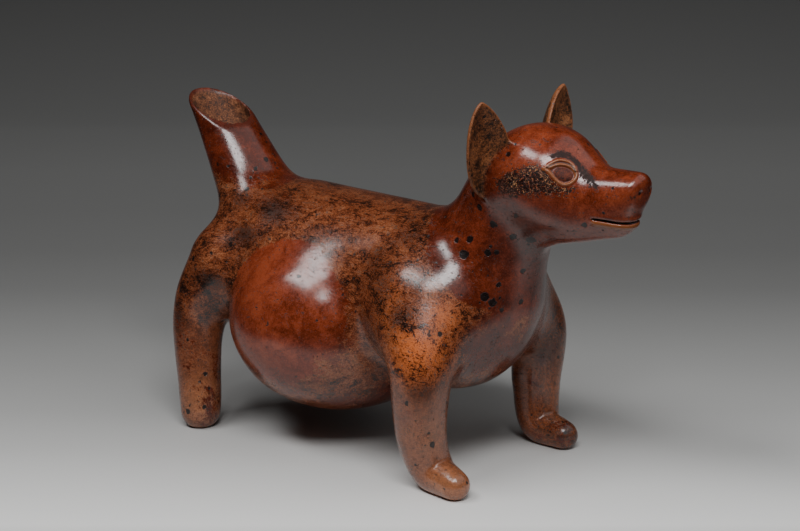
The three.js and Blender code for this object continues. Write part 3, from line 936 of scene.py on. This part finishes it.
class Look:
    """A material, and the ways to make its nodes."""

    def __init__(self, name):
        self.material = bpy.data.materials.new(name)
        self.material.use_nodes = True
        self.tree = self.material.node_tree
        self.shader = self.tree.nodes["Principled BSDF"]
        self.place = self.node("TexCoord", {}, {}, "Object")

    def put(self, socket, value):
        if isinstance(value, Wire):
            self.tree.links.new(value.socket, socket)
        else:
            socket.default_value = value

    def node(self, kind, settings, values, output):
        made = self.tree.nodes.new("ShaderNode" + kind)
        for name, value in settings.items():
            setattr(made, name, value)
        for name, value in values.items():
            self.put(made.inputs[name], value)
        return Wire(self, made.outputs[output])

    def math(self, operation, a, b):
        return self.node("Math", {"operation": operation}, {0: a, 1: b}, 0)

    def vector(self, operation, a, b, output="Vector"):
        return self.node("VectorMath", {"operation": operation}, {0: a, 1: b}, output)

    def mix(self, a, b, share):
        colours = {0: share, 6: self.colour(a), 7: self.colour(b)}
        return self.node("Mix", {"data_type": "RGBA"}, colours, 2)

    def colour(self, value):
        return value if isinstance(value, Wire) else (*value, 1)

    def laid(self, name):
        return self.node("Attribute", {"attribute_name": name}, {}, "Fac")

    def noise(self, size, detail=2.0, rough=0.5, swirl=0.0, place=None, output="Fac"):
        """Noise whose lumps are about size millimetres across."""
        values = {
            "Vector": place or self.place,
            "Scale": 1000 / size,
            "Detail": detail,
            "Roughness": rough,
            "Distortion": swirl,
        }
        return self.node("TexNoise", {}, values, output)

    def ramp(self, value, stops):
        """A colour that runs through the given ones, each at its value between 0 and 1."""
        made = self.tree.nodes.new("ShaderNodeValToRGB")
        self.put(made.inputs[0], value)
        held = made.color_ramp.elements
        for place, colour in stops:
            held.new(place).color = (*colour, 1)
        held.remove(held[0])
        held.remove(held[-1])
        return Wire(self, made.outputs[0])

    def shaken(self, size, by, place=None):
        """Places moved about by up to some millimetres, in lumps of the given size."""
        way = self.vector("SUBTRACT", self.noise(size, 3, output="Color"), (0.5, 0.5, 0.5))
        step_of = self.vector("MULTIPLY", way, (by / 500,) * 3)
        return self.vector("ADD", place or self.place, step_of)

    def cells(self, size, place, output):
        values = {"Vector": place, "Scale": 1000 / size, "Randomness": 1.0}
        return self.node("TexVoronoi", {"feature": "F1"}, values, output)

    def set(self, **values):
        for name, value in values.items():
            self.put(self.shader.inputs[name.replace("_", " ")], value)


def specks(look, size, most, chance, place):
    """Round specks, one in a cell at the most. chance says how many cells hold one."""
    away = look.cells(size, place, "Distance") * size
    colour = look.cells(size, place, "Color")
    draw, second = (look.node("SeparateColor", {}, {0: colour}, channel) for channel in (0, 1))
    radius = (0.35 + 0.65 * second) * most
    edge = 0.036 * size
    inside = (away - radius).between(edge, -edge)
    return inside * (draw - chance).between(0.01, -0.01)


# Large black specks of mineral, with the radius of each
MARKS = [
    (22.5, -9.5, 42, 0.45), (25, -9, 42.5, 0.6), (24.5, -10, 40, 0.8), (28, -8, 40.5, 0.6),
    (29, -8, 45.5, 0.6), (24.5, -8, 50, 0.5), (26.5, -8.5, 48, 0.55), (33.5, -8, 47.5, 0.4),
    (32, -6.5, 43.5, 0.6), (34.5, -5, 43, 0.8), (32, -3.5, 37, 0.5), (28, -9, 33, 0.75),
    (29, -8, 32, 0.75), (29.5, -7, 35, 0.45), (30, -6.5, 30.5, 0.45), (31.5, -3, 31.5, 0.5),
    (44.5, -4.5, 47, 0.42), (22, -22, 16.5, 0.45), (25, -19, 9, 0.5), (40.5, 2, 58.5, 0.4),
    (29, -14, 56.5, 0.7), (29.5, -14, 62, 0.5), (28.5, -14.5, 60, 0.5), (31.5, -8.5, 58, 0.5),
    (-31.5, 2, 52, 0.4), (-28.5, -0.5, 47.5, 0.5), (-28, -3.5, 46.5, 0.4), (-27, -7, 43.5, 0.45),
    (-4.5, -18.5, 33, 0.35), (-28.5, -17.5, 10.5, 0.4), (-30.5, -20, 3.5, 0.45), (-28, -18.5, 4.5, 0.45),
    (25.5, 9.5, 41, 0.6), (29, 8, 35.5, 0.55), (-4, 19.5, 31, 0.35), (24, 21.5, 14, 0.4),
]

# Millimetres for each hundredth of the length
MARK_SIZE = SHARE * 1000


def large_marks(look, shift, grow):
    """The large specks, each settled on the skin and a little ragged."""
    ragged = look.shaken(3.2, 1.7)
    skin = merge(bare_skin, ears, SOFT["ear"])
    nearest = None
    for *place, radius in MARKS:
        middle = (settle(skin, np.array([place], float), rounds=12)[0] - shift) * grow
        away = look.vector("DISTANCE", ragged, tuple(middle), "Value") * 1000 - radius * MARK_SIZE
        nearest = away if nearest is None else nearest.least(away)
    return nearest.between(0.2, -0.2)


# Single colours of the clay and of what lies on it
RUBBED_SLIP = (0.38, 0.09, 0.02)
ORANGE_CLAY = (0.78, 0.19, 0.045)
LEG_BROWN_AND_FLOOR_SHEEN = (0.2, 0.07, 0.037)
PALE_LEG = (0.4, 0.17, 0.08)
SMOKE = (0.013, 0.008, 0.0065)
SPECK = (0.0045, 0.004, 0.004)
BAND = (0.006, 0.0045, 0.004)
RED_DASH = (0.22, 0.04, 0.012)
BUFF_DASH = (0.55, 0.27, 0.11)
BROW = (0.008, 0.0055, 0.005)
RAISED_RIM = (0.27, 0.085, 0.026)
# Near black, as painted shade in the sunken grooves, slit and nostrils
GROOVE_PAINTED_SHADE = (0.008, 0.004, 0.003)

# Colours of the clay from dark to light, each at its place between 0 and 1
SLIP_SHADES = [
    (0.15, (0.045, 0.0065, 0.0025)),
    (0.42, (0.1, 0.015, 0.005)),
    (0.64, (0.185, 0.03, 0.0115)),
    (0.88, (0.29, 0.055, 0.022)),
]
WARE_SHADES = [
    (0.12, (0.01, 0.0055, 0.0042)),
    (0.3, (0.053, 0.0145, 0.0058)),
    (0.48, (0.14, 0.034, 0.0125)),
    (0.66, (0.245, 0.066, 0.024)),
    (0.92, (0.42, 0.16, 0.072)),
]
EAR_SHADES = [
    (0.15, (0.016, 0.01, 0.006)),
    (0.36, (0.075, 0.028, 0.011)),
    (0.56, (0.2, 0.066, 0.023)),
    (0.85, (0.38, 0.14, 0.05)),
]
EYE_SHADES = [(0.2, (0.014, 0.006, 0.005)), (0.5, (0.09, 0.016, 0.008)), (0.85, (0.17, 0.036, 0.014))]
PLAIN_SHADES = [
    (0.15, (0.03, 0.012, 0.0055)),
    (0.42, (0.1, 0.03, 0.0105)),
    (0.65, (0.18, 0.06, 0.022)),
    (0.9, (0.32, 0.125, 0.055)),
]


def burnished_clay(shift, grow):
    look = Look("burnished clay")
    worn, dark, pale, orange = (look.laid(name) for name in ("worn", "dark", "pale", "orange"))
    speckled, on_ear, raised, sunken = (look.laid(name) for name in ("specks", "ear", "raised", "sunken"))
    band, brow, inside, leg = (look.laid(name) for name in ("band", "brow", "inside", "leg"))
    lip, eyeball, paler_slip_and_painted_bounce = (look.laid(name) for name in ("lip", "eyeball", "paler_slip_and_painted_bounce"))

    # Strokes of the burnishing stone run along the body
    drawn = look.vector("MULTIPLY", look.shaken(25, 6), (0.5, 1, 1))
    cloud = look.noise(38, 3, 0.55) - 0.5
    rust = look.noise(6, 5, 0.75, 0.6, place=drawn) - 0.5
    fibre = look.noise(1.6, 3, 0.7, 1.4, place=drawn) - 0.5
    curl = look.noise(3.0, 4, 0.62, 2.0) - 0.5
    blot = look.noise(11, 4, 0.65, 0.6) - 0.5
    grain = look.noise(0.8, 2, 0.6) - 0.5
    spread = look.noise(15, 5, 0.75, 1.0) - 0.5

    # Red slip, rubbed thin in flecks
    # The slip is paler on the flank patch and the crown, and on the snout and jaw as painted bounce light
    red = 0.45 + 0.27 * paler_slip_and_painted_bounce + 0.7 * cloud + 1.0 * blot + 0.8 * curl + 0.5 * grain
    slip = look.ramp(red, SLIP_SHADES)
    fleck = (fibre + 0.5 * curl + 0.3 * blot + 0.03 * worn).between(0.13, 0.22)
    slip = look.mix(slip, RUBBED_SLIP, fleck * 0.5)

    # The ware under it, orange, pale or brown in places
    tone = 0.5 + 1.6 * rust + 1.6 * fibre + 0.9 * grain + 1.0 * blot + 0.5 * cloud
    tone = tone + 0.2 * pale + 0.16 * orange - 0.16 * dark
    ware = look.ramp(tone, WARE_SHADES)
    ware = look.mix(ware, look.mix(ware, ORANGE_CLAY, 0.68), orange * (tone - 0.1).between(0.2, 0.5))
    # The lower legs turn browner, and a little grey as a painted reflection of the floor
    ware = look.mix(ware, look.mix(ware, LEG_BROWN_AND_FLOOR_SHEEN, 0.5), leg * (1 - 0.8 * pale))
    ware = look.mix(ware, PALE_LEG, pale * leg * 0.55)

    # Where the slip is worn away, and the dark that lies in the wear
    bare = (0.78 * worn + 1.5 * spread + 0.8 * cloud + 0.9 * fibre + 0.5 * curl).between(0.36, 0.54)
    clay = look.mix(slip, ware, bare)
    smoke = (0.34 * dark + 0.07 * worn + 1.1 * blot + 1.5 * rust + 2.2 * fibre).between(0.37, 0.45)
    clay = look.mix(clay, SMOKE, smoke * 0.85)

    # The ears
    leaf = look.ramp(0.46 + 1.6 * blot + 1.6 * curl + 0.8 * grain, EAR_SHADES)
    clay = look.mix(clay, leaf, on_ear)

    # Black specks, small and large
    loose = look.shaken(2.6, 0.9)
    many = 0.05 + 0.62 * speckled + 0.1 * worn + 0.2 * on_ear
    black = specks(look, 9, 1.9, many * 0.6, loose)
    black = black.most(specks(look, 5, 1.15, many, loose))
    black = black.most(specks(look, 2.8, 0.55, many * 0.9 + 0.03, loose))
    black = black.most(large_marks(look, shift, grow))
    clay = look.mix(clay, SPECK, black * 0.96)

    # The smear behind the eye, scratched through in dashes, and the one over it
    torn = (band + 2.4 * curl + 2.4 * fibre).between(0.4, 0.56)
    clay = look.mix(clay, BAND, torn * 0.97)
    dashes = look.noise(1.7, 2, 0.5, 2.4, place=look.shaken(6, 2.5)) - 0.5
    front = look.noise(17, 1) - 0.5
    clay = look.mix(clay, RED_DASH, torn * dashes.between(0.055, 0.09))
    clay = look.mix(clay, BUFF_DASH, torn * (dashes + 0.3 * front).between(0.12, 0.16))
    smear = (brow + 2.6 * curl + 2.6 * fibre).between(0.42, 0.58)
    clay = look.mix(clay, BROW, smear * 0.9)

    # Carved rims, painted shade in the grooves, the mouth's slit and the nostrils, the eyeball and the
    # bare inside
    clay = look.mix(clay, RAISED_RIM, (raised + 0.8 * curl).between(0.3, 0.7) * 0.9)
    clay = look.mix(clay, GROOVE_PAINTED_SHADE, (sunken + 0.3 * curl).between(0.3, 0.7) * 0.92)
    stare = look.ramp(0.5 + 2 * curl + grain, EYE_SHADES)
    clay = look.mix(clay, stare, eyeball)
    plain = look.ramp(0.5 + 1.6 * blot + 1.8 * curl + grain, PLAIN_SHADES)
    clay = look.mix(clay, plain, inside)

    # How matt and how bumpy it is
    matt = (0.35 * black.most(torn)).most(smear).most(0.7 * on_ear)
    matt = matt.most(eyeball).most(0.75 * lip).most(inside)
    rough = 0.19 + 0.04 * bare + 0.08 * smoke + 0.34 * matt + 0.3 * curl + 0.25 * fibre + 0.15 * blot
    rough = rough + 0.12 * raised + 0.3 * sunken + 0.2 * inside + 0.25 * eyeball + 0.3 * smear
    height = 0.1 * look.noise(7, 3) + 0.05 * grain + 0.07 * curl * (0.4 + bare) + 0.06 * fibre * bare
    height = height - 0.12 * black - 0.14 * torn * dashes.between(0.02, 0.16) - 0.04 * smoke
    height = height + 0.3 * inside * curl
    bump = look.node("Bump", {}, {"Strength": 1.0, "Distance": 0.001, "Height": height}, "Normal")
    look.set(Base_Color=clay, Roughness=rough, Normal=bump, IOR=1.5)
    look.set(Coat_Weight=(1 - matt) * 0.3, Coat_Roughness=0.17)
    return look.material


paint_places(vessel, shift, grow)
vessel.data.materials.clear()
vessel.data.materials.append(burnished_clay(shift, grow))

# Where the camera stands: its azimuth from the dog's right side, its elevation, its distance in
# metres and what it looks at
AZIMUTH, ELEVATION = math.radians(38.53), math.radians(14.48)
CAMERA_DISTANCE = 1.355
CAMERA_TARGET = (-0.0015, 0, 0.124)

# The ways that lead straight back and aside in its picture
BACK_WAY = (-math.sin(AZIMUTH), math.cos(AZIMUTH), 0)
ASIDE_WAY = (math.cos(AZIMUTH), math.sin(AZIMUTH), 0)

# Metres that the floor runs to the front, back and each side, the radius of its bend and its height
SWEEP = {"front": 2.2, "back": 1.2, "aside": 4, "bend": 0.9, "top": 3.2}

STUDIO_DARK = (0.02, 0.02, 0.02)

# Metres behind the vessel and the paper's painted shade there
PAPER_SHADES = [
    (-0.4, 0.03), (-0.26, 0.07), (-0.2, 0.5), (-0.16, 0.9), (-0.02, 0.56), (0.06, 0.44), (0.16, 0.36),
    (0.27, 0.29), (0.4, 0.22), (0.54, 0.2), (0.71, 0.21), (0.91, 0.24), (1.16, 0.26), (1.5, 0.19),
    (1.95, 0.1), (2.6, 0.045),
]


def sweep():
    """A pale floor that runs back and bends up into a wall."""
    flat, bend, aside = SWEEP["back"], SWEEP["bend"], SWEEP["aside"]
    profile = [(-SWEEP["front"], 0), (flat, 0)]
    for n in range(1, 19):
        turn = math.radians(5 * n)
        profile.append((flat + bend * math.sin(turn), bend * (1 - math.cos(turn))))
    profile.append((flat + bend, SWEEP["top"]))
    points, faces = [], []
    for run, rise in profile:
        middle = Vector(BACK_WAY) * run
        points += [middle + Vector(ASIDE_WAY) * side + Vector((0, 0, rise)) for side in (-aside, aside)]
    for n in range(len(profile) - 1):
        faces.append((2 * n, 2 * n + 1, 2 * n + 3, 2 * n + 2))
    mesh = bpy.data.meshes.new("sweep")
    mesh.from_pydata(points, [], faces)
    mesh.shade_smooth()
    made = bpy.data.objects.new("sweep", mesh)
    bpy.context.scene.collection.objects.link(made)
    made.data.materials.append(grey_paper())
    return made


def grey_paper():
    """Paper with painted shade: it darkens towards the back, as it does in a studio with its lamps in
    front, and also to the front and the sides, round a painted pool of light.
    """
    look = Look("grey paper")
    way = look.node("VectorMath", {"operation": "DOT_PRODUCT"}, {0: look.place, 1: BACK_WAY}, "Value")
    rise = look.node("SeparateXYZ", {}, {0: look.place}, "Z")
    aside = look.node("VectorMath", {"operation": "DOT_PRODUCT"}, {0: look.place, 1: ASIDE_WAY}, "Value")
    # The ramp runs from 1 m in front of the vessel to 3 m behind it
    stops = [((run + 1) / 4, (shade, shade, shade * 0.985)) for run, shade in PAPER_SHADES]
    paper = look.ramp((way + 0.9 * rise + 1) * 0.25, stops)
    # Painted shade: the paper turns dark to each side, starting further out towards the back
    aside = aside.most(aside * -1) - 0.2 * way.most(0.0)
    paper = look.mix(paper, STUDIO_DARK, aside.between(0.28, 0.42))
    look.set(Base_Color=paper, Roughness=0.6)
    return look.material


sweep()


def way_to(azimuth, elevation):
    """The way from the vessel to what stands at an azimuth and an elevation."""
    level = math.cos(elevation)
    return Vector((math.sin(azimuth) * level, -math.cos(azimuth) * level, math.sin(elevation)))


camera = bpy.data.objects.new("camera", bpy.data.cameras.new("camera"))
bpy.context.scene.collection.objects.link(camera)
to_camera = way_to(AZIMUTH, ELEVATION)
camera.location = Vector(CAMERA_TARGET) + to_camera * CAMERA_DISTANCE
camera.rotation_euler = (-to_camera).to_track_quat("-Z", "Y").to_euler()
camera.data.sensor_width = 36
camera.data.lens = 90.2
bpy.context.scene.camera = camera

# How far the lamps stand from the point that they look at, and that point, in metres
LAMP_DISTANCE = 1.5
LAMP_TARGET = (0, 0, 0.12)


def softbox(name, direction, size, power):
    """A flat lamp that looks at the vessel. direction is its azimuth and its elevation."""
    way = way_to(*(math.radians(angle) for angle in direction))
    lamp = bpy.data.lights.new(name, "AREA")
    lamp.shape = "RECTANGLE"
    lamp.size, lamp.size_y = size
    lamp.energy = power
    made = bpy.data.objects.new(name, lamp)
    made.location = Vector(LAMP_TARGET) + way * LAMP_DISTANCE
    made.rotation_euler = (-way).to_track_quat("-Z", "Y").to_euler()
    bpy.context.scene.collection.objects.link(made)


softbox("left softbox", (-22, 57), (0.87, 0.34), 10)
softbox("front softbox", (40, 51), (0.69, 0.42), 13.5)
softbox("right softbox", (104, 50), (2.6, 1.6), 9)

world = bpy.data.worlds.new("studio")
bpy.context.scene.world = world
world.use_nodes = True
world.node_tree.nodes["Background"].inputs["Color"].default_value = (*STUDIO_DARK, 1)
